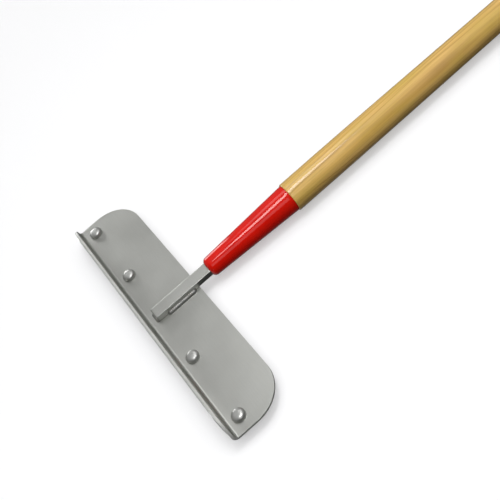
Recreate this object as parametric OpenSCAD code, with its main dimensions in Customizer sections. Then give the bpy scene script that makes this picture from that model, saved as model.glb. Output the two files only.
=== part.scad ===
// Algae scraper: a riveted steel scraping head welded to a flat bar shank,
// whose tang is driven into a turned hardwood handle inside a steel ferrule.
//
// Millimetres, +Z up. The tool lies on its back with the lip turned up.
// Origin: centre of the rivet row on the flat underside of the blade.
// +Y runs along the handle, away from the scraping edge. X is the head's width.

/* [Head plate] */
// Width of the head plate, end to end
head_w = 305; // [150:1:450]
// Depth of the head plate, from the lip's front face to the back edge
head_d = 59.5; // [50:0.5:90]
// Sheet thickness of the head plate
plate_t = 2.5; // [1.5:0.1:4]
// Height of the turned-up lip above the plate's top face
lip_h = 17.5; // [12:0.5:30]
// Radius of the plate's two back corners
back_corner_r = 34.5; // [5:0.5:40]
// Radius of the lip's two top corners
lip_corner_r = 20.5; // [4:0.5:24]
// Inside radius of the bend between plate and lip
bend_r = 3; // [1:0.5:5]

/* [Scraper blade] */
// Thickness of the replaceable blade strip
blade_t = 0.9; // [0.8:0.1:2.5]
// How far each blade end stops short of the plate's end
blade_inset = 8; // [0:0.5:8]
// How far the blade's edge stands above the lip
blade_proud = 0.5; // [0:0.1:4]
// Depth of the blade's flat leg behind the rivet row
leg_behind_rivets = 11; // [8:0.5:16]
// Radius of the blade's two top corners
blade_corner_r = 20; // [2:0.5:24]
// Radius of the two corners of the blade's flat leg
blade_leg_r = 6; // [2:0.5:6]

/* [Rivets] */
// Distance of the rivet row from the lip's front face
rivet_setback = 15.6; // [13:0.1:20]
// Distance of the outer rivets from the head's centre
rivet_outer_x = 137.5; // [100:0.5:138]
// Distance of the inner rivets from the head's centre
rivet_inner_x = 62; // [30:0.5:90]
// Diameter of a rivet's shank
rivet_d = 6; // [4:0.1:8]
// Diameter of a rivet's domed head
rivet_head_d = 13; // [11:0.5:16]
// Height of a rivet's domed head
rivet_head_h = 4.4; // [2:0.1:5.5]
// Diameter of the set tail, flush with the blade's underside
rivet_tail_d = 8.4; // [8.1:0.1:9.5]

/* [Shank] */
// Width of the flat bar
bar_w = 12.7; // [10:0.1:16]
// Thickness of the flat bar
bar_t = 6.35; // [5:0.05:8]
// Distance of the bar's front end ahead of the rivet row
bar_ahead = 3.8; // [0:0.1:6]
// Length of the tapered tang inside the handle
tang_l = 78; // [40:1:100]
// Width of the tang's tip
tang_tip_w = 6; // [4:0.5:8]
// Play between the tang and its slot
tang_play = 0.1; // [0.05:0.05:0.3]

/* [Welds] */
// How far each side weld reaches out over the plate
weld_out = 3.3; // [2.5:0.1:6]
// How far each side weld climbs up the bar
weld_up = 2.7; // [2:0.1:5]
// Length of each side weld
weld_l = 34; // [15:1:36]
// Distance of a side weld's front end behind the rivet row
weld_y = 6.3; // [2:0.1:8]
// How far the weld across the bar's front end reaches out over the plate
front_weld_out = 2.6; // [1.5:0.1:3.5]
// How far the weld across the bar's front end climbs up the bar
front_weld_up = 2; // [1:0.1:3]

/* [Ferrule] */
// Distance of the ferrule's nose behind the rivet row
ferrule_y = 60; // [50:0.5:80]
// Length of the ferrule
ferrule_l = 99; // [80:1:130]
// Radius of the ferrule at its open end, on the handle
ferrule_open_r = 13.9; // [13:0.1:15]
// Radius of the ferrule behind its rounded nose
ferrule_small_r = 9.8; // [9.5:0.1:11]
// Radius of the rounding at the nose
nose_r = 5; // [4:0.5:8]
// Wall thickness of the ferrule
ferrule_wall = 1.2; // [0.8:0.1:1.5]

/* [Handle] */
// Overall length of the handle, with its turned end
handle_l = 1371.6; // [600:0.1:1800]
// Radius of the swell next to the ferrule
swell_r = 15; // [14.5:0.1:17]
// Length of the straight swell
swell_l = 76; // [20:1:150]
// Length over which the swell tapers to the grip
taper_l = 235; // [100:5:300]
// Radius of the straight grip
grip_r = 13.5; // [12:0.1:14]
// Radius of the rounding at the butt
butt_r = 8; // [3:0.5:10]
// Gap between the ferrule's nose and the turned end
turned_gap = 10; // [6:1:16]

/* [Hidden] */
$fn = 96;

plate_z = blade_t;                          // underside of the head plate
top_z = plate_z + plate_t;                  // top face of the head plate
lip_top_z = top_z + lip_h;                  // top edge of the lip
blade_top_z = lip_top_z + blade_proud;      // scraping edge
front_y = -rivet_setback;                   // front face of the lip
blade_front_y = front_y - blade_t;          // front face of the blade
bend_y = front_y + plate_t + bend_r;        // bend axis of both strips
bend_z = top_z + bend_r;
axis_z = top_z + bar_t / 2;                 // axis of shank, ferrule and handle
blade_w = head_w - 2 * blade_inset;
lip_end_r = min(lip_corner_r, lip_top_z - 0.4);     // corners stay above the underside
blade_end_r = min(blade_corner_r, blade_top_z - 0.4);
bevel_w = blade_t - 0.4;                    // ground edge of the blade
bevel_h = 3;
hole_play = 0.1;                            // radial play of a rivet in its hole
sink_depth = 0.7 * blade_t;                 // countersink in the blade's underside
rivet_xs = [-rivet_outer_x, -rivet_inner_x, rivet_inner_x, rivet_outer_x];

ferrule_end = ferrule_y + ferrule_l;
small_y = ferrule_y + nose_r;               // where the nose rounding ends
wood_y = ferrule_y + turned_gap;            // front face of the turned end
bar_y = -bar_ahead;
tang_y = wood_y + 4;                        // where the bar starts to taper
fit_gap = 0.05;                             // turned end to ferrule bore
grip_y = ferrule_end + swell_l + taper_l;   // start of the straight grip
butt_y = wood_y + handle_l;

steel = [0.64, 0.65, 0.63];
bright_steel = [0.78, 0.79, 0.78];
weld_metal = [0.55, 0.56, 0.55];
red_paint = [0.85, 0.10, 0.06];
ash_wood = [0.82, 0.66, 0.40];

// Outside radius of the ferrule's straight taper at a place along the handle
function ferrule_r(y) = ferrule_small_r
    + (ferrule_open_r - ferrule_small_r) * (y - small_y) / (ferrule_end - small_y);

// Rectangle centred on X, from the X axis up, with its two far corners rounded
module far_rounded(w, d, r) {
    translate([-w / 2, 0]) square([w, d - r]);
    translate([-w / 2 + r, 0]) square([w - 2 * r, d]);
    for (side = [-1, 1])
        translate([side * (w / 2 - r), d - r]) circle(r);
}

// Section of a strip bent up by a quarter turn about the origin.
// The leg runs along +X below the origin, the lip runs up on the -X side.
module bent_section(t, r_in, leg, lip) {
    r_out = r_in + t;
    translate([0, -r_out]) square([leg, t]);
    translate([-r_out, 0]) square([t, lip]);
    intersection() {
        difference() {
            circle(r_out);
            circle(r_in);
        }
        translate([-r_out, -r_out]) square(r_out);
    }
}

// Runs a section drawn in the YZ plane along X, centred on the head
module along_head(w) {
    translate([-w / 2, 0, 0])
        rotate([90, 0, 90])
            linear_extrude(w) children();
}

// Keeps only what lies inside a rounded plan and a rounded front view
module trim_ends(w, plan_y, plan_d, plan_r, front_h, front_r) {
    intersection() {
        children();
        translate([0, plan_y, -1])
            linear_extrude(front_h + 2) far_rounded(w, plan_d, plan_r);
        translate([0, plan_y + plan_d + 1, 0])
            rotate([90, 0, 0])
                linear_extrude(plan_d + 2) far_rounded(w, front_h, front_r);
    }
}

// Repeats a shape at each rivet
module at_rivets() {
    for (x = rivet_xs)
        translate([x, 0, 0]) children();
}

// Countersink below a rivet hole, cut or filled from the underside
module countersink(extra) {
    translate([0, 0, -extra])
        cylinder(h = sink_depth + extra, r1 = rivet_tail_d / 2 + extra, r2 = rivet_d / 2);
}

// Bent steel plate: the flat back with its lip
module head_plate() {
    color(steel)
    difference() {
        trim_ends(head_w, front_y, head_d, back_corner_r, lip_top_z, lip_end_r)
            along_head(head_w)
                translate([bend_y, bend_z])
                    bent_section(plate_t, bend_r, front_y + head_d - bend_y, lip_top_z - bend_z);
        at_rivets()
            cylinder(h = top_z + 1, r = rivet_d / 2 + hole_play);
    }
}

// Thin hard strip nested under the plate and against the lip's front face
module scraper_blade() {
    leg_l = leg_behind_rivets - bend_y;
    color(bright_steel)
    difference() {
        trim_ends(blade_w, blade_front_y, leg_behind_rivets - blade_front_y, blade_leg_r,
                  blade_top_z, blade_end_r)
            along_head(blade_w)
                difference() {
                    translate([bend_y, bend_z])
                        bent_section(blade_t, bend_r + plate_t, leg_l, blade_top_z - bend_z);
                    polygon([
                        [blade_front_y - 1, blade_top_z + 1],
                        [blade_front_y - 1, blade_top_z - bevel_h],
                        [blade_front_y, blade_top_z - bevel_h],
                        [blade_front_y + bevel_w, blade_top_z],
                        [blade_front_y + bevel_w, blade_top_z + 1]
                    ]);
                }
        at_rivets() {
            translate([0, 0, -1]) cylinder(h = blade_t + 2, r = rivet_d / 2 + hole_play);
            countersink(hole_play);
        }
    }
}

// One rivet: domed head on the plate, tail set flush in the blade's underside
module rivet() {
    dome_r = (pow(rivet_head_d / 2, 2) + pow(rivet_head_h, 2)) / (2 * rivet_head_h);
    cylinder(h = top_z + 0.5, r = rivet_d / 2);
    countersink(0);
    translate([0, 0, top_z])
        intersection() {
            translate([0, 0, rivet_head_h - dome_r]) sphere(dome_r);
            cylinder(h = rivet_head_h + 1, r = rivet_head_d);
        }
}

// The four identical rivets that hold blade and plate together
module blade_rivets() {
    color(bright_steel) at_rivets() rivet();
}

// Plan of the bar and its tapered tang, grown by the given play
module bar_plan(front, play) {
    polygon([
        [-bar_w / 2 - play, front],
        [bar_w / 2 + play, front],
        [bar_w / 2 + play, tang_y],
        [tang_tip_w / 2 + play, tang_y + tang_l + play],
        [-tang_tip_w / 2 - play, tang_y + tang_l + play],
        [-bar_w / 2 - play, tang_y]
    ]);
}

// Flat bar on the plate, running through the ferrule's nose into the handle
module shank() {
    color(steel)
    translate([0, 0, top_z])
        linear_extrude(bar_t) bar_plan(bar_y, 0);
}

// Full-faced fillet bead along -Y from the origin, in the corner of the XY and YZ planes
module fillet_weld(out, up, length) {
    chord = sqrt(pow(out, 2) + pow(up, 2));
    back_off = chord * 0.6;                 // sets how full the bead's face is
    rotate([90, 0, 0])
        linear_extrude(length)
            intersection() {
                square([out, up]);
                translate([out / 2 - back_off * up / chord, up / 2 - back_off * out / chord])
                    circle(sqrt(pow(back_off, 2) + pow(chord / 2, 2)));
            }
}

// Bead on the bar's right side
module side_weld() {
    translate([bar_w / 2, weld_y + weld_l, top_z]) fillet_weld(weld_out, weld_up, weld_l);
}

module weld_bead_right() {
    color(weld_metal) side_weld();
}

module weld_bead_left() {
    color(weld_metal) mirror([1, 0, 0]) side_weld();
}

// Short bead across the bar's front end
module weld_bead_front() {
    color(weld_metal)
    translate([bar_w / 2, bar_y, top_z])
        rotate([0, 0, -90]) fillet_weld(front_weld_out, front_weld_up, bar_w);
}

// Turns a profile of [radius, place along the handle] about the handle's axis
module turned() {
    translate([0, 0, axis_z])
        rotate([-90, 0, 0])
            rotate_extrude() children();
}

// Half section of the ferrule, or of its bore when shrunk by the wall
module ferrule_half(shrink, ahead) {
    nose_flat_r = ferrule_small_r - nose_r;
    r = nose_r - shrink;
    translate([0, ferrule_y + shrink]) square([nose_flat_r, small_y - ferrule_y - shrink]);
    intersection() {
        translate([nose_flat_r, small_y]) circle(r);
        translate([0, ferrule_y]) square([ferrule_small_r, nose_r]);
    }
    polygon([
        [0, small_y],
        [ferrule_small_r - shrink, small_y],
        [ferrule_r(ferrule_end + ahead) - shrink, ferrule_end + ahead],
        [0, ferrule_end + ahead]
    ]);
}

// Tapered steel sleeve with a rounded nose that closes round the bar
module ferrule() {
    color(red_paint)
    difference() {
        turned() ferrule_half(0, 0);
        turned() ferrule_half(ferrule_wall, 1);
        translate([0, 0, top_z - tang_play])
            linear_extrude(bar_t + 2 * tang_play)
                translate([-bar_w / 2 - tang_play, bar_y]) square([bar_w + 2 * tang_play, small_y]);
    }
}

// Turned hardwood: end cone inside the ferrule, swell, taper and straight grip
module handle() {
    bore_gap = ferrule_wall + fit_gap;
    color(ash_wood)
    difference() {
        turned() {
            polygon([
                [0, wood_y],
                [ferrule_r(wood_y) - bore_gap, wood_y],
                [ferrule_r(ferrule_end) - bore_gap, ferrule_end],
                [swell_r - 0.5, ferrule_end],
                [swell_r, ferrule_end + 0.5],
                [swell_r, ferrule_end + swell_l],
                [grip_r, grip_y],
                [grip_r, butt_y - butt_r],
                [0, butt_y - butt_r]
            ]);
            translate([0, butt_y - butt_r - 1]) square([grip_r - butt_r, butt_r + 1]);
            intersection() {
                translate([grip_r - butt_r, butt_y - butt_r]) circle(butt_r);
                translate([0, butt_y - butt_r]) square([grip_r, butt_r]);
            }
        }
        translate([0, 0, top_z - tang_play])
            linear_extrude(bar_t + 2 * tang_play) bar_plan(bar_y, tang_play);
    }
}

head_plate();
scraper_blade();
blade_rivets();
shank();
weld_bead_left();
weld_bead_right();
weld_bead_front();
ferrule();
handle();
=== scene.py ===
"""Algae scraper: detailed meshes, materials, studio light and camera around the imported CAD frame.

Metres, in the CAD frame: X across the head, +Y along the handle to its butt, +Z out of the plate.
The blade's underside is at Z = 0.
"""

import math
import random

import bmesh
import bpy
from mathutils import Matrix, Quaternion, Vector, noise


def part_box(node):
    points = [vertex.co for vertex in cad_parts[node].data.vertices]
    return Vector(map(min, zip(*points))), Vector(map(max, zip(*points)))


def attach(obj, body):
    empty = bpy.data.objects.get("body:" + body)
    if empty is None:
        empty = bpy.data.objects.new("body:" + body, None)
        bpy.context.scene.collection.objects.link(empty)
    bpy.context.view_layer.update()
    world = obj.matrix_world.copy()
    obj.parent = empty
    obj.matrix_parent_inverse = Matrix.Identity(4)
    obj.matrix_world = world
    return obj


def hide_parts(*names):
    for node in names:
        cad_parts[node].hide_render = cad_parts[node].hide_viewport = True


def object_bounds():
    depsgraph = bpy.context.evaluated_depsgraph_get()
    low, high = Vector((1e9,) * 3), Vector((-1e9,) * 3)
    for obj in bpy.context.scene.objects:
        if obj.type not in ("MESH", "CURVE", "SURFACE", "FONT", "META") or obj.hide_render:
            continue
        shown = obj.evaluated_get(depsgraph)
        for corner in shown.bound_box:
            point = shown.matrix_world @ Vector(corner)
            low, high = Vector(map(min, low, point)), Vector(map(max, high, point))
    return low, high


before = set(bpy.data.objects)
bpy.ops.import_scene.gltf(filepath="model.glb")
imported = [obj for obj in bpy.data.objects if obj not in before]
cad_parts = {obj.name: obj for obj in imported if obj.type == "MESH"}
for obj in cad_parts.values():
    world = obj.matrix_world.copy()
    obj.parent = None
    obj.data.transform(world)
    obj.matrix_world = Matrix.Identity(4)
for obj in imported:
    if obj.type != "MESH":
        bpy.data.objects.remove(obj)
cad_low, cad_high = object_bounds()

MM = 0.001

# ---------------------------------------------------------------- places, from the CAD nodes
plate_low, plate_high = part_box("head_plate")
blade_low, blade_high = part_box("scraper_blade")
rivet_low, rivet_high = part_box("blade_rivets")
bar_low, bar_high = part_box("shank")
weld_low, weld_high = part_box("weld_bead_right")
front_weld_low, front_weld_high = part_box("weld_bead_front")
ferrule_low, ferrule_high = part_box("ferrule")
handle_low, handle_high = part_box("handle")

PLATE_TOP = bar_low.z                       # the bar lies on the plate's top face
PLATE_T = PLATE_TOP - plate_low.z
BLADE_T = plate_low.z - blade_low.z         # the blade lies under the plate
AXIS_Z = (ferrule_low.z + ferrule_high.z) / 2
BAR_W = bar_high.x - bar_low.x
BAR_T = bar_high.z - bar_low.z
FERRULE_OPEN_R = (ferrule_high.x - ferrule_low.x) / 2
SWELL_R = (handle_high.x - handle_low.x) / 2

# ---------------------------------------------------------------- sizes the boxes don't give
BEND_R = 3.0 * MM                           # inside radius of the plate's bend
BACK_CORNER_R = 34.5 * MM
LIP_CORNER_R = 20.5 * MM
BLADE_CORNER_R = 20.0 * MM                  # the blade's top corners
BLADE_LEG_R = 6.0 * MM                      # the corners of its leg under the plate
BLADE_GROUND_H = 3.0 * MM                   # height of its ground edge
RIVET_XS = (-137.5 * MM, -62.0 * MM, 62.0 * MM, 137.5 * MM)
RIVET_RIM_H = 0.35 * MM                     # upright rim under the dome
RIVET_SHANK_R = 3.0 * MM
RIVET_TAIL_R = 4.2 * MM
RIVET_SINK = 0.7 * BLADE_T                  # depth of the countersink that holds the tail
BAR_EDGE_R = 0.55 * MM
BAR_EASED_L = 0.9 * MM                      # length over which the bar's front end is rounded
TANG_L = 78.0 * MM
TANG_TIP_W = 6.0 * MM
TANG_TIP_THINNING = 0.4 * MM                # off each broad side
NOSE_R = 5.0 * MM
NOSE_HOLE_R = 2.0 * MM
FERRULE_SMALL_R = 9.8 * MM
FERRULE_WALL = 1.2 * MM
OPEN_EDGE_R = 0.4 * MM                      # rolled edge at the ferrule's open end
WOOD_GAP = 0.05 * MM                        # between the wood and the ferrule's inside
SHOULDER_R = 0.7 * MM
SWELL_L = 76.0 * MM
TAPER_L = 235.0 * MM
TAPER_START = 0.7                           # share of the swell that stays at full width
GRIP_R = 13.5 * MM
BUTT_R = 8.0 * MM
FLOOR_Z = cad_low.z - 3 * MM

# ---------------------------------------------------------------- mesh quality
HARD_ANGLE = math.radians(38)               # edges sharper than this stay hard or are bevelled
POLE_R = 1e-7                               # a turned ring smaller than this is one point
LATHE_SEGMENTS = 96
RIVET_SEGMENTS = 48
SHEET_COLUMNS = 72
SHEET_WAVE = 0.12 * MM                      # how far a sheet strays from flat
RIVET_SEED = 11


# ---------------------------------------------------------------- mesh helpers
def add_piece(name, verts, faces, materials, nodes, bevel=0.0, face_slots=None):
    """Makes one piece from points and faces, rounds its hard edges and hands it to the frame."""
    mesh = bpy.data.meshes.new(name)
    mesh.from_pydata(verts, [], faces)
    mesh.validate()
    shape = bmesh.new()
    shape.from_mesh(mesh)
    bmesh.ops.recalc_face_normals(shape, faces=shape.faces)
    shape.to_mesh(mesh)
    shape.free()
    for material in materials:
        mesh.materials.append(material)
    for index, polygon in enumerate(mesh.polygons):
        polygon.use_smooth = True
        if face_slots:
            polygon.material_index = face_slots[index]
    mesh.set_sharp_from_angle(angle=HARD_ANGLE)
    mesh.update()
    obj = bpy.data.objects.new(name, mesh)
    bpy.context.scene.collection.objects.link(obj)
    if bevel:
        rounding = obj.modifiers.new("rounded_edges", "BEVEL")
        rounding.width = bevel
        rounding.segments = 3
        rounding.limit_method = "ANGLE"
        rounding.angle_limit = HARD_ANGLE
        rounding.harden_normals = True
    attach(obj, "root")
    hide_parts(*nodes)
    return obj


def skin_rings(rings):
    """Points and faces of a closed solid through rings of equal length, with flat end caps."""
    count = len(rings[0])
    verts = [tuple(point) for ring in rings for point in ring]
    faces = []
    for r in range(len(rings) - 1):
        a = r * count
        b = a + count
        for i in range(count):
            j = (i + 1) % count
            faces.append((a + i, a + j, b + j, b + i))
    faces.append(tuple(range(count)))
    faces.append(tuple(reversed(range(len(verts) - count, len(verts)))))
    return verts, faces


def turn_profile(profile, point, segments, verts, faces):
    """Adds a turned (radius, height) profile. point(radius, angle, height) places each point."""
    previous = None
    for radius, height in profile:
        if radius < POLE_R:
            ring = [len(verts)]
            verts.append(point(0.0, 0.0, height))
        else:
            ring = list(range(len(verts), len(verts) + segments))
            for i in range(segments):
                verts.append(point(radius, 2 * math.pi * i / segments, height))
        if previous:
            for i in range(segments):
                j = (i + 1) % segments
                if len(previous) == 1:
                    faces.append((previous[0], ring[i], ring[j]))
                elif len(ring) == 1:
                    faces.append((previous[j], previous[i], ring[0]))
                else:
                    faces.append((previous[j], previous[i], ring[i], ring[j]))
        previous = ring


def lathe(profile):
    """Points and faces of (radius, y) points turned about the handle's axis."""
    verts = []
    faces = []

    def point(radius, angle, y):
        return (radius * math.cos(angle), y, AXIS_Z + radius * math.sin(angle))

    turn_profile(profile, point, LATHE_SEGMENTS, verts, faces)
    return verts, faces


def arc(centre_r, centre_y, radius, start, end, steps):
    """Points (radius, y) on an arc, angles in degrees from the radial direction."""
    points = []
    for i in range(steps + 1):
        a = math.radians(start + (end - start) * i / steps)
        points.append((centre_r + radius * math.cos(a), centre_y + radius * math.sin(a)))
    return points


def smooth_step(t):
    """Rises from 0 to 1 as t does, level at both ends."""
    t = min(max(t, 0.0), 1.0)
    return t * t * (3 - 2 * t)


# ---------------------------------------------------------------- bent sheets
def sheet_stations(low, high, thickness, inner_r, lip_r, back_r, ground):
    """Stations along a bent sheet's middle surface, from the lip's top edge to the back edge.

    Each is (y, z, normal y, normal z, half width, thinning). low and high are the sheet's box.
    """
    middle_r = inner_r + thickness / 2
    bend_y = low.y + thickness + inner_r
    bend_z = low.z + thickness + inner_r
    lip_l = high.z - bend_z
    lip_clear = 0.3 * MM                    # the last lip station stays this far above the bend
    flat_spacing = 6 * MM
    corner_steps = 14
    bend_steps = 10
    edge_share = 0.7                        # of the thickness that is left at a ground edge
    stations = []

    def half_width(depth, to_back):
        half = (high.x - low.x) / 2
        if depth < lip_r:
            half -= lip_r - math.sqrt(max(lip_r ** 2 - (lip_r - depth) ** 2, 0.0))
        if to_back < back_r:
            half -= back_r - math.sqrt(max(back_r ** 2 - (back_r - to_back) ** 2, 0.0))
        return half

    def add(y, z, ny, nz):
        depth = high.z - z if y < bend_y else lip_r
        thin = 1.0
        if ground and y < bend_y:
            thin = min(1.0, edge_share + (1 - edge_share) * (high.z - z) / ground)
        stations.append((y, z, ny, nz, half_width(depth, high.y - y), thin))

    depths = [lip_r * (1 - math.cos(math.radians(90 * i / corner_steps))) for i in range(corner_steps + 1)]
    depths = [depth for depth in depths if depth < lip_l - lip_clear]
    if ground:
        depths = sorted(depths + [ground])
    for depth in depths:
        add(low.y + thickness / 2, high.z - depth, 1, 0)
    for i in range(bend_steps + 1):
        a = math.radians(90 * i / bend_steps)
        add(bend_y - middle_r * math.cos(a), bend_z - middle_r * math.sin(a), math.cos(a), math.sin(a))
    flat_end = high.y - back_r
    flat_steps = max(2, round((flat_end - bend_y) / flat_spacing))
    for i in range(1, flat_steps):
        add(bend_y + (flat_end - bend_y) * i / flat_steps, low.z + thickness / 2, 0, 1)
    for i in range(corner_steps + 1):
        y = flat_end + back_r * math.sin(math.radians(90 * i / corner_steps))
        add(y, low.z + thickness / 2, 0, 1)
    return stations


def bent_sheet(low, high, thickness, inner_r, lip_r, back_r, ground=0.0):
    """A sheet bent up at its front by a quarter turn, with rounded ends, as one closed solid.

    With ground, the lip's front side is thinned towards the top edge over that height.
    Returns points, faces and how many of the faces come before those of the rim.
    """
    stations = sheet_stations(low, high, thickness, inner_r, lip_r, back_r, ground)
    columns = SHEET_COLUMNS
    verts = []
    for side in (1, -1):
        for y, z, ny, nz, half, thin in stations:
            for c in range(columns + 1):
                x = half * (2 * c / columns - 1)
                reach = thickness / 2
                if side < 0:
                    reach = thickness * (thin - 0.5)
                wave = SHEET_WAVE * noise.noise(Vector((x * 9, y * 14, 3.7)))
                verts.append((x, y + ny * (side * reach + wave), z + nz * (side * reach + wave)))

    faces = []
    row = columns + 1
    layer = row * len(stations)
    for r in range(len(stations) - 1):
        for c in range(columns):
            a = r * row + c
            faces.append((a, a + row, a + row + 1, a + 1))
            b = a + layer
            faces.append((b, b + 1, b + row + 1, b + row))
    broad = len(faces)
    for r in range(len(stations) - 1):
        a = r * row
        faces.append((a, a + layer, a + layer + row, a + row))
        b = a + columns
        faces.append((b, b + row, b + row + layer, b + layer))
    end = (len(stations) - 1) * row
    for c in range(columns):
        faces.append((c, c + 1, c + 1 + layer, c + layer))
        d = end + c
        faces.append((d, d + layer, d + layer + 1, d + 1))
    return verts, faces, broad


def make_head_plate(face_material, rim_material):
    """The bent plate, with its own material on the sheared rim."""
    verts, faces, broad = bent_sheet(
        plate_low, plate_high, PLATE_T, BEND_R, LIP_CORNER_R, BACK_CORNER_R)
    slots = [0] * broad + [1] * (len(faces) - broad)
    return add_piece("head_plate_sheet", verts, faces, [face_material, rim_material],
                     ["head_plate"], bevel=0.9 * MM, face_slots=slots)


def make_scraper_blade(material):
    """The thin strip that nests round the outside of the plate's bend, with a ground top edge."""
    verts, faces, _ = bent_sheet(
        blade_low, blade_high, BLADE_T, BEND_R + PLATE_T, BLADE_CORNER_R, BLADE_LEG_R,
        ground=BLADE_GROUND_H)
    return add_piece("scraper_blade_strip", verts, faces, [material], ["scraper_blade"],
                     bevel=0.15 * MM)


# ---------------------------------------------------------------- rivets
def rivet_profile(head_r, head_h):
    """(radius, z) points from the top of the flattened dome down to the flush tail."""
    flatness = 0.68
    dome_steps = 14
    profile = [(0.0, PLATE_TOP + head_h)]
    for i in range(1, dome_steps + 1):
        a = math.radians(90 * i / dome_steps)
        r = head_r * math.sin(a) ** flatness
        profile.append((r, PLATE_TOP + RIVET_RIM_H + (head_h - RIVET_RIM_H) * math.cos(a) ** flatness))
    profile += [
        (head_r, PLATE_TOP + 0.1 * MM),
        (head_r * 0.97, PLATE_TOP),
        (RIVET_SHANK_R, PLATE_TOP),
        (RIVET_SHANK_R, RIVET_SINK),
        (RIVET_TAIL_R, 0.06 * MM),
        (RIVET_TAIL_R * 0.96, -0.02 * MM),
        (RIVET_TAIL_R * 0.5, -0.06 * MM),
        (0.0, -0.07 * MM),
    ]
    return profile


def make_rivets(material):
    """Four set rivets, each a little out of round and leaning its own way."""
    rng = random.Random(RIVET_SEED)
    profile = rivet_profile((rivet_high.y - rivet_low.y) / 2, rivet_high.z - PLATE_TOP)
    verts = []
    faces = []
    for x in RIVET_XS:
        squash = 1 + rng.uniform(-0.02, 0.01)
        lean_x = rng.uniform(-0.02, 0.02)
        lean_y = rng.uniform(-0.02, 0.02)

        def point(radius, angle, z):
            high = max(z - PLATE_TOP, 0.0)
            return (x + radius * squash * math.cos(angle) + lean_x * high,
                    radius * math.sin(angle) + lean_y * high, z)

        turn_profile(profile, point, RIVET_SEGMENTS, verts, faces)
    return add_piece("rivet_set", verts, faces, [material], ["blade_rivets"])


# ---------------------------------------------------------------- shank
def bar_section(inset_w, inset_t, y):
    """A ring of points: the bar's section with rounded corners, smaller by the insets on each side."""
    half_w = BAR_W / 2 - inset_w
    half_t = BAR_T / 2 - inset_t
    corner = min(BAR_EDGE_R, half_w * 0.95, half_t * 0.95)
    corner_steps = 4
    run_in = -0.25 * MM                     # a point this far back along each side keeps it flat
    ring = []
    for quarter, (sx, sz) in enumerate(((1, 1), (-1, 1), (-1, -1), (1, -1))):
        cx = sx * (half_w - corner)
        cz = sz * (half_t - corner)
        before = (run_in, corner) if quarter % 2 else (corner, run_in)
        after = (corner, run_in) if quarter % 2 else (run_in, corner)
        ring.append((cx + sx * before[0], y, AXIS_Z + cz + sz * before[1]))
        for i in range(corner_steps + 1):
            a = math.radians(90 * (quarter + i / corner_steps))
            ring.append((cx + corner * math.cos(a), y, AXIS_Z + cz + corner * math.sin(a)))
        ring.append((cx + sx * after[0], y, AXIS_Z + cz + sz * after[1]))
    return ring


def make_shank(material):
    """Flat bar lying on the plate, with eased edges, a rounded front end and a tapered tang."""
    tang_y = bar_high.y - TANG_L
    eased_end = ((0.8 * MM, 0.0), (0.35 * MM, 0.12 * MM), (0.08 * MM, 0.4 * MM), (0.0, BAR_EASED_L))
    rings = [bar_section(inset, inset, bar_low.y + depth) for inset, depth in eased_end]
    bar_steps = 40
    for i in range(1, bar_steps + 1):
        y = bar_low.y + BAR_EASED_L + (tang_y - bar_low.y - BAR_EASED_L) * i / bar_steps
        wobble = abs(0.05 * MM * noise.noise(Vector((0.3, y * 60, 1.9))))
        rings.append(bar_section(wobble, wobble / 2, y))
    tang_steps = 8
    for i in range(1, tang_steps + 1):
        t = i / tang_steps
        rings.append(bar_section((BAR_W - TANG_TIP_W) / 2 * t, TANG_TIP_THINNING * t, tang_y + TANG_L * t))
    verts, faces = skin_rings(rings)
    return add_piece("shank_bar", verts, faces, [material], ["shank"])


# ---------------------------------------------------------------- welds
def bead(start, end, out, leg_out, leg_up, pitch, seed):
    """A fillet bead on the plate from start to end: full crest, steep toe, rippled, tapered ends.

    start and end lie on the corner line, in plan. out is the direction away from the wall.
    """
    along = end - start
    length = along.length
    section = ((0.0, 0.97), (0.15, 0.99), (0.32, 0.96), (0.50, 0.88), (0.66, 0.75), (0.80, 0.55),
               (0.90, 0.30), (0.96, 0.12), (1.0, 0.0))          # (share of the leg out, of the leg up)
    root_back = 0.3 * MM                    # the root goes this far into the wall
    root_down = 0.1 * MM                    # and this far into the plate
    end_l = 0.8 * leg_out                   # the bead swells to full size over this length
    bow = 0.3 * leg_out                     # how far a ripple's middle runs ahead
    rows = 120
    rings = []
    for r in range(rows + 1):
        t = r / rows
        near_end = min(t, 1 - t) * length
        swell = math.sqrt(min(1.0, (near_end + 0.1 * MM) / end_l))
        here = start + along * t
        wander = noise.noise(Vector((seed, t * length * 260, 0.0)))
        ring = [here - out * root_back + Vector((0, 0, PLATE_TOP - root_down))]
        for share, rise in section:
            ahead = bow * (1 - (2 * share - 1) ** 2)
            ripple = abs(math.sin(math.pi * (t * length + ahead) / pitch)) ** 0.6
            reach = leg_out * swell * share * (0.94 + 0.05 * wander)
            height = leg_up * swell * rise * (0.90 + 0.09 * ripple)
            ring.append(here + out * reach + Vector((0, 0, PLATE_TOP + height)))
        rings.append(ring)
    verts, faces = skin_rings(rings)
    if along.cross(out).z < 0:
        faces = [tuple(reversed(face)) for face in faces]
    return verts, faces


def make_side_weld(name, side, node, material):
    """Long bead along one side of the bar: side is 1 on the right and -1 on the left."""
    start = Vector((side * BAR_W / 2, weld_low.y, 0.0))
    end = Vector((side * BAR_W / 2, weld_high.y, 0.0))
    out = weld_high.x - BAR_W / 2
    up = weld_high.z - PLATE_TOP
    verts, faces = bead(start, end, Vector((side, 0, 0)), out, up, pitch=1.9 * MM, seed=side * 3.1)
    return add_piece(name, verts, faces, [material], [node])


def make_front_weld(material):
    """Short bead across the bar's front end."""
    start = Vector((front_weld_low.x, front_weld_high.y, 0.0))
    end = Vector((front_weld_high.x, front_weld_high.y, 0.0))
    out = front_weld_high.y - front_weld_low.y
    up = front_weld_high.z - PLATE_TOP
    verts, faces = bead(start, end, Vector((0, -1, 0)), out, up, pitch=1.7 * MM, seed=7.7)
    return add_piece("weld_front", verts, faces, [material], ["weld_bead_front"])


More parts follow.
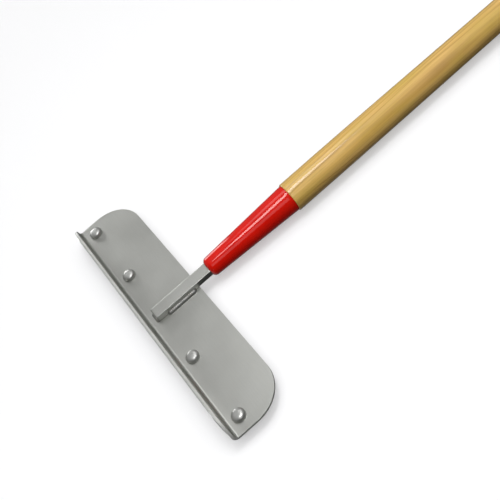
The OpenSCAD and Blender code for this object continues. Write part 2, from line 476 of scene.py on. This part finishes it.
# ---------------------------------------------------------------- ferrule and handle
def ferrule_radius(y):
    """The ferrule's outside radius on its cone, and on the cone's line past either end."""
    start = ferrule_low.y + NOSE_R
    t = (y - start) / (ferrule_high.y - start)
    return FERRULE_SMALL_R + (FERRULE_OPEN_R - FERRULE_SMALL_R) * t


def make_ferrule(material):
    """Thin tapered sleeve: blunt rounded nose, long cone, rolled open edge and an inside wall."""
    start = ferrule_low.y + NOSE_R
    end = ferrule_high.y
    outside_end = end - 0.5 * MM            # just short of the rolled edge
    inside_start = start + 1 * MM
    cone_steps = 24
    profile = [(NOSE_HOLE_R, ferrule_low.y + 0.05 * MM)]
    profile += arc(FERRULE_SMALL_R - NOSE_R, start, NOSE_R, -88, -3, 12)
    for i in range(1, cone_steps):
        y = start + (outside_end - start) * i / cone_steps
        profile.append((ferrule_radius(y), y))
    profile += arc(FERRULE_OPEN_R - OPEN_EDGE_R, end - OPEN_EDGE_R, OPEN_EDGE_R, 0, 90, 4)
    profile.append((FERRULE_OPEN_R - FERRULE_WALL, end))
    for i in range(cone_steps, -1, -4):
        y = inside_start + (end - inside_start) * i / cone_steps
        profile.append((ferrule_radius(y) - FERRULE_WALL, y - 0.01 * MM))
    profile.append((NOSE_HOLE_R, ferrule_low.y + FERRULE_WALL))
    profile.append(profile[0])
    verts, faces = lathe(profile)
    return add_piece("ferrule_sleeve", verts, faces, [material], ["ferrule"])


def make_handle(material):
    """Turned handle: cone inside the ferrule, eased shoulder, swell, long taper, grip and butt."""
    end = ferrule_high.y
    inner = FERRULE_WALL + WOOD_GAP
    profile = [(0.0, handle_low.y), (ferrule_radius(handle_low.y) - inner, handle_low.y)]
    cone_steps = 12
    for i in range(1, cone_steps + 1):
        y = handle_low.y + (end - handle_low.y) * i / cone_steps
        profile.append((ferrule_radius(y) - inner, y))
    profile += arc(SWELL_R - SHOULDER_R, end + SHOULDER_R, SHOULDER_R, -80, 0, 5)
    full = SWELL_L + TAPER_L
    level = SWELL_L * TAPER_START
    taper_steps = 60
    for i in range(1, taper_steps + 1):
        along = full * i / taper_steps
        t = max(0.0, (along - level) / (full - level))
        ease = 0.55 * t + 0.45 * smooth_step(t)
        profile.append((SWELL_R + (GRIP_R - SWELL_R) * ease, end + along))
    grip_start = end + full
    grip_end = handle_high.y - BUTT_R
    grip_steps = 48
    for i in range(1, grip_steps + 1):
        profile.append((GRIP_R, grip_start + (grip_end - grip_start) * i / grip_steps))
    profile += arc(GRIP_R - BUTT_R, grip_end, BUTT_R, 6, 88, 10)
    profile.append((0.0, handle_high.y))
    verts, faces = lathe(profile)
    return add_piece("handle_turned", verts, faces, [material], ["handle"])


# ---------------------------------------------------------------- material helpers
def set_stops(ramp, stops):
    """Gives a colour ramp node its (position, (red, green, blue)) stops."""
    elements = ramp.color_ramp.elements
    while len(elements) < len(stops):
        elements.new(0.5)
    for element, (position, colour) in zip(elements, stops):
        element.position = position
        element.color = (*colour, 1.0)


class Shader:
    """A short way to wire a Principled material. Sockets and plain values both go in as inputs."""

    def __init__(self, name):
        self.material = bpy.data.materials.new(name)
        self.material.use_nodes = True
        self.tree = self.material.node_tree
        self.principled = self.tree.nodes["Principled BSDF"]
        self.place = self.tree.nodes.new("ShaderNodeTexCoord").outputs["Object"]

    def node(self, kind, inputs=None, **settings):
        """A new node with its settings and inputs."""
        made = self.tree.nodes.new(kind)
        for key, value in settings.items():
            setattr(made, key, value)
        for key, value in (inputs or {}).items():
            self.feed(made.inputs[key], value)
        return made

    def feed(self, socket, value):
        """Links a socket to another one, or sets its value."""
        if isinstance(value, bpy.types.NodeSocket):
            self.tree.links.new(value, socket)
        else:
            socket.default_value = value

    def set(self, socket, value):
        """Sets one input of the Principled shader."""
        self.feed(self.principled.inputs[socket], value)

    def stretched(self, x, y, z):
        """The point in metres times a scale for each axis: a low scale draws a texture out."""
        return self.node("ShaderNodeMapping", {"Vector": self.place, "Scale": (x, y, z)}).outputs["Vector"]

    def noise(self, place, scale=1.0, detail=4.0, rough=0.55):
        """Fractal noise from 0 to 1."""
        made = self.node("ShaderNodeTexNoise", {
            "Vector": place, "Scale": scale, "Detail": detail, "Roughness": rough})
        return made.outputs["Fac"]

    def ramp(self, value, stops):
        """The colour at value between (position, colour) stops."""
        made = self.node("ShaderNodeValToRGB", {"Fac": value})
        set_stops(made, stops)
        return made.outputs["Color"]

    def mix(self, share, under, over):
        """The colour under, covered by a share of the colour over."""
        made = self.node("ShaderNodeMix", data_type="RGBA")
        self.feed(made.inputs["Factor"], share)
        self.feed(made.inputs["A"], under)
        self.feed(made.inputs["B"], (*over, 1.0))
        return made.outputs["Result"]

    def span(self, value, low, high, from_low, from_high):
        """Low to high as value goes from from_low to from_high, and level outside that."""
        made = self.node("ShaderNodeMapRange", {
            "Value": value, "From Min": from_low, "From Max": from_high, "To Min": low, "To Max": high})
        return made.outputs["Result"]

    def maths(self, operation, a, b=0.0):
        """The result of one Math node."""
        made = self.node("ShaderNodeMath", operation=operation)
        self.feed(made.inputs[0], a)
        self.feed(made.inputs[1], b)
        return made.outputs[0]

    def blend_heights(self, coarse, fine):
        """Two height patterns added at 60 and 40 percent."""
        return self.maths("ADD", self.maths("MULTIPLY", coarse, 0.6), self.maths("MULTIPLY", fine, 0.4))

    def bump(self, height, strength, distance):
        """Bump from a height pattern. The distance is in metres."""
        made = self.node("ShaderNodeBump", {
            "Height": height, "Strength": strength, "Distance": distance})
        self.set("Normal", made.outputs["Normal"])


# ---------------------------------------------------------------- materials
def satin_steel(name, lift):
    """Rolled sheet: cloudy, with fine grain along its length. lift scales its brightness: the bar's copy has
    a higher lift, painted lighter than the plate's to offset the shade on the bar.
    """
    s = Shader(name)
    cloud = s.noise(s.place, scale=26.0, detail=3.0)
    grain = s.noise(s.stretched(60, 900, 900), detail=5.0, rough=0.6)
    speck = s.noise(s.place, scale=1400.0, detail=2.0)
    dull, plain, light = [
        tuple(lift * c for c in tone)
        for tone in ((0.545, 0.552, 0.52), (0.60, 0.607, 0.575), (0.64, 0.647, 0.615))]
    base = s.ramp(cloud, [(0.30, plain), (0.70, light)])
    s.set("Base Color", s.mix(s.span(grain, 0.0, 0.22, 0.35, 0.75), base, dull))
    s.set("Metallic", 1.0)
    s.set("Specular Tint", (0.62, 0.62, 0.61, 1.0))
    s.set("Roughness", s.span(s.maths("ADD", cloud, grain), 0.33, 0.43, 0.7, 1.3))
    s.bump(s.blend_heights(grain, speck), strength=0.12, distance=0.1 * MM)
    return s.material


def cut_edge_steel():
    """The sheet's sheared rim: rougher and duller than its rolled faces."""
    s = Shader("cut_edge_steel")
    cloud = s.noise(s.place, scale=60.0, detail=3.0)
    lines = s.noise(s.stretched(700, 700, 60), detail=4.0, rough=0.6)
    base = s.ramp(cloud, [(0.30, (0.44, 0.445, 0.42)), (0.70, (0.53, 0.535, 0.51))])
    s.set("Base Color", s.mix(s.span(lines, 0.0, 0.3, 0.35, 0.75), base, (0.36, 0.365, 0.345)))
    s.set("Metallic", 0.3)
    s.set("Roughness", s.span(lines, 0.45, 0.60, 0.3, 0.7))
    s.bump(lines, strength=0.15, distance=0.1 * MM)
    return s.material


def blade_steel():
    """Bright strip steel with grinding lines."""
    s = Shader("blade_steel")
    cloud = s.noise(s.place, scale=40.0, detail=3.0)
    lines = s.noise(s.stretched(1500, 120, 60), detail=4.0, rough=0.6)
    base = s.ramp(cloud, [(0.30, (0.66, 0.665, 0.65)), (0.70, (0.76, 0.765, 0.75))])
    s.set("Base Color", s.mix(s.span(lines, 0.0, 0.3, 0.35, 0.75), base, (0.56, 0.565, 0.555)))
    s.set("Metallic", 1.0)
    s.set("Roughness", s.span(lines, 0.26, 0.42, 0.3, 0.7))
    s.bump(lines, strength=0.15, distance=0.1 * MM)
    return s.material


def rivet_steel():
    """Hammered heads, faintly dented."""
    s = Shader("rivet_steel")
    cloud = s.noise(s.place, scale=220.0, detail=3.0)
    dents = s.noise(s.place, scale=420.0, detail=2.0)
    s.set("Base Color", s.ramp(cloud, [(0.3, (0.52, 0.525, 0.505)), (0.7, (0.61, 0.615, 0.595))]))
    s.set("Metallic", 0.9)
    s.set("Roughness", s.span(cloud, 0.34, 0.44, 0.3, 0.7))
    s.bump(dents, strength=0.16, distance=0.5 * MM)
    return s.material


def weld_metal():
    """Weld beads: grey with a faint straw heat tint and dark scale."""
    s = Shader("weld_metal")
    scale = s.noise(s.place, scale=260.0, detail=4.0)
    heat = s.noise(s.stretched(90, 160, 90), detail=2.0)
    base = s.ramp(heat, [(0.35, (0.44, 0.44, 0.43)), (0.55, (0.54, 0.54, 0.52)), (0.75, (0.49, 0.46, 0.42))])
    s.set("Base Color", s.mix(s.span(scale, 0.0, 0.3, 0.45, 0.75), base, (0.33, 0.33, 0.32)))
    s.set("Metallic", 1.0)
    s.set("Roughness", s.span(scale, 0.42, 0.60, 0.3, 0.7))
    s.bump(scale, strength=0.3, distance=0.2 * MM)
    return s.material


def red_paint():
    """Gloss enamel with a trace of orange peel: the coat alone gives its shine."""
    s = Shader("red_paint")
    cloud = s.noise(s.place, scale=45.0, detail=3.0)
    peel = s.noise(s.place, scale=900.0, detail=2.0)
    s.set("Base Color", s.ramp(cloud, [(0.30, (0.55, 0.006, 0.002)), (0.70, (0.64, 0.010, 0.004))]))
    s.set("Roughness", s.span(cloud, 0.30, 0.38, 0.3, 0.7))
    s.set("Specular IOR Level", 0.0)
    s.set("Coat Weight", 1.0)
    s.set("Coat IOR", 1.5)
    s.set("Coat Roughness", 0.06)
    s.bump(peel, strength=0.02, distance=0.2 * MM)
    return s.material


def growth_rings(s):
    """Wood colour from rings: nearly flat sheets that lean through the handle and drift along it."""
    drift = s.noise(s.stretched(14, 2.2, 14), detail=3.0, rough=0.5)
    split = s.node("ShaderNodeSeparateXYZ", {"Vector": s.place})
    rings = s.maths("ADD", s.maths("MULTIPLY", split.outputs["X"], 210.0),
                    s.maths("MULTIPLY", split.outputs["Z"], 150.0))
    rings = s.maths("ADD", rings, s.maths("MULTIPLY", drift, 6.0))
    rings = s.maths("ADD", rings, s.maths("MULTIPLY", split.outputs["Y"], 1.6))
    return s.ramp(s.maths("FRACT", rings), [
        (0.0, (0.65, 0.405, 0.110)), (0.35, (0.72, 0.465, 0.135)), (0.78, (0.62, 0.375, 0.092)),
        (0.92, (0.40, 0.23, 0.052)), (1.0, (0.64, 0.395, 0.105))])


def ash_wood():
    """Lacquered hardwood: rings, warm and olive patches, dark streaks and pores along the grain."""
    s = Shader("ash_wood")
    streak = s.noise(s.stretched(420, 6, 420), detail=4.0, rough=0.6)
    pore = s.noise(s.stretched(1500, 28, 1500), detail=3.0, rough=0.7)
    warm = s.noise(s.stretched(60, 3.0, 60), detail=2.0)
    olive = s.noise(s.stretched(50, 12, 50), detail=3.0, rough=0.6)
    base = growth_rings(s)
    base = s.mix(s.span(warm, 0.0, 0.55, 0.40, 0.72), base, (0.70, 0.44, 0.17))
    base = s.mix(s.span(olive, 0.0, 0.75, 0.44, 0.66), base, (0.57, 0.395, 0.080))
    base = s.mix(s.span(streak, 0.0, 0.60, 0.42, 0.74), base, (0.43, 0.25, 0.075))
    base = s.mix(s.span(pore, 0.0, 0.5, 0.58, 0.82), base, (0.34, 0.19, 0.06))
    s.set("Base Color", base)
    s.set("Roughness", s.span(streak, 0.36, 0.50, 0.3, 0.7))
    s.set("Specular IOR Level", 0.15)
    s.set("Coat Weight", 1.0)
    s.set("Coat Roughness", 0.14)
    s.bump(s.blend_heights(streak, pore), strength=0.10, distance=0.3 * MM)
    return s.material


# ---------------------------------------------------------------- stage, light and camera
def glowing_pale(name, base, strength):
    """A pale shader that also glows evenly by itself."""
    s = Shader(name)
    s.set("Base Color", (*base, 1.0))
    s.set("Emission Color", (1.0, 1.0, 1.0, 1.0))
    s.set("Emission Strength", strength)
    return s


def add_scenery(name, verts, faces, material):
    """A mesh that only the camera sees: it throws no light or shadow back on the object."""
    mesh = bpy.data.meshes.new(name)
    mesh.from_pydata(verts, [], faces)
    mesh.materials.append(material)
    obj = bpy.data.objects.new(name, mesh)
    obj.visible_diffuse = False
    obj.visible_glossy = False
    obj.visible_shadow = False
    bpy.context.scene.collection.objects.link(obj)
    return obj


def square(reach, z):
    """The four corners of a level square about the origin."""
    return [(x * reach, y * reach, z) for x, y in ((-1, -1), (1, -1), (1, 1), (-1, 1))]


def make_floor():
    """Pale floor just under the object."""
    s = glowing_pale("pale_floor", (0.58, 0.58, 0.587), 0.35)
    s.set("Roughness", 0.9)
    s.set("Specular IOR Level", 0.0)
    floor = add_scenery("floor", square(12.0, FLOOR_Z), [(0, 1, 2, 3)], s.material)
    return floor


def make_backdrop():
    """Pale wall far round the floor, so low views have no dark horizon."""
    s = glowing_pale("pale_wall", (0.5, 0.5, 0.5), 0.6)
    reach = 11.0
    tall = 14.0
    verts = square(reach, FLOOR_Z) + square(reach, FLOOR_Z + tall)
    sides = [(i, (i + 1) % 4, 4 + (i + 1) % 4, 4 + i) for i in range(4)]
    wall = add_scenery("backdrop", verts, sides, s.material)
    return wall


def make_light(name, place, target, size, power, turn=0.0):
    """Rectangular soft box aimed at a target and turned about its own axis by turn degrees."""
    data = bpy.data.lights.new(name, "AREA")
    data.shape = "RECTANGLE"
    data.size, data.size_y = size
    data.energy = power
    light = bpy.data.objects.new(name, data)
    light.location = place
    light.rotation_mode = "QUATERNION"
    aim = (Vector(target) - Vector(place)).to_track_quat("-Z", "Y")
    light.rotation_quaternion = aim @ Quaternion((0, 0, 1), math.radians(turn))
    bpy.context.scene.collection.objects.link(light)
    return light


def world_lobe(tree, direction, stops):
    """Grey levels of the surround against the cosine of the angle from one direction."""
    dot = tree.nodes.new("ShaderNodeVectorMath")
    dot.operation = "DOT_PRODUCT"
    tree.links.new(tree.nodes.new("ShaderNodeTexCoord").outputs["Generated"], dot.inputs[0])
    dot.inputs[1].default_value = Vector(direction).normalized()
    ramp = tree.nodes.new("ShaderNodeValToRGB")
    tree.links.new(dot.outputs["Value"], ramp.inputs["Fac"])
    set_stops(ramp, [(cosine, (level, level, level)) for cosine, level in stops])
    return ramp.outputs["Color"]


def make_world():
    """Grey surround, brightest high on the head's left and again low in front of it."""
    world = bpy.data.worlds.new("studio")
    world.use_nodes = True
    tree = world.node_tree
    high = world_lobe(tree, (-0.45, 0.25, 0.85), ((0.0, 0.015), (0.45, 0.10), (0.8, 0.28), (1.0, 0.34)))
    low = world_lobe(tree, (-0.45, -0.70, -0.55), ((0.0, 0.0), (0.35, 0.05), (0.75, 0.30), (1.0, 0.42)))
    total = tree.nodes.new("ShaderNodeVectorMath")
    total.operation = "ADD"
    tree.links.new(high, total.inputs[0])
    tree.links.new(low, total.inputs[1])
    tree.links.new(total.outputs["Vector"], tree.nodes["Background"].inputs["Color"])
    bpy.context.scene.world = world


def make_lights():
    """A strip that streaks the ferrule and handle, a broad key without glare, three small fills."""
    head = (0.0, 0.0, 0.0)
    make_light("overhead_strip", (0.08, 0.25, 1.2), (0.08, 0.25, 0.0), (0.26, 0.56), 4.0, turn=40)
    key = make_light("key_above", (0.38, 0.2, 1.3), (0.0, 0.15, 0.0), (2.2, 2.2), 23.0)
    key.visible_glossy = False
    make_light("kicker", (-1.4, -0.15, 0.30), head, (0.5, 0.5), 4.0)
    make_light("bend_fill", (-0.54, 0.33, 1.07), (0.15, 0.0, 0.0), (0.5, 0.36), 0.95)
    make_light("camera_side_card", (0.98, 0.08, 1.12), head, (0.55, 0.55), 0.9)


def make_camera():
    """Camera above the head's right end, rolled so that the handle runs to the top right."""
    place = Vector((0.5268, 0.0504, PLATE_TOP + 0.6007))
    target = Vector((0.0096, 0.1002, PLATE_TOP - 0.0041))
    roll = math.radians(-37.06)
    data = bpy.data.cameras.new("camera")
    data.lens = 63.0
    data.sensor_width = 36.0
    data.clip_start = 0.01
    camera = bpy.data.objects.new("camera", data)
    camera.location = place
    camera.rotation_mode = "QUATERNION"
    aim = (target - place).to_track_quat("-Z", "Y")
    camera.rotation_quaternion = aim @ Quaternion((0, 0, 1), roll)
    bpy.context.scene.collection.objects.link(camera)
    bpy.context.scene.camera = camera
    bpy.context.scene.view_settings.view_transform = "Standard"


# ---------------------------------------------------------------- the scene
make_camera()
make_world()
make_lights()
make_floor()
make_backdrop()
make_head_plate(satin_steel("satin_steel", lift=1.035), cut_edge_steel())
make_scraper_blade(blade_steel())
make_rivets(rivet_steel())
# The bar gets a lighter copy of the plate's steel: painted lightness that offsets the shade falling on the
# bar.
make_shank(satin_steel("bar_steel_painted_lighter", lift=1.05))
weld = weld_metal()
make_side_weld("weld_right", 1, "weld_bead_right", weld)
make_side_weld("weld_left", -1, "weld_bead_left", weld)
make_front_weld(weld)
make_ferrule(red_paint())
make_handle(ash_wood())
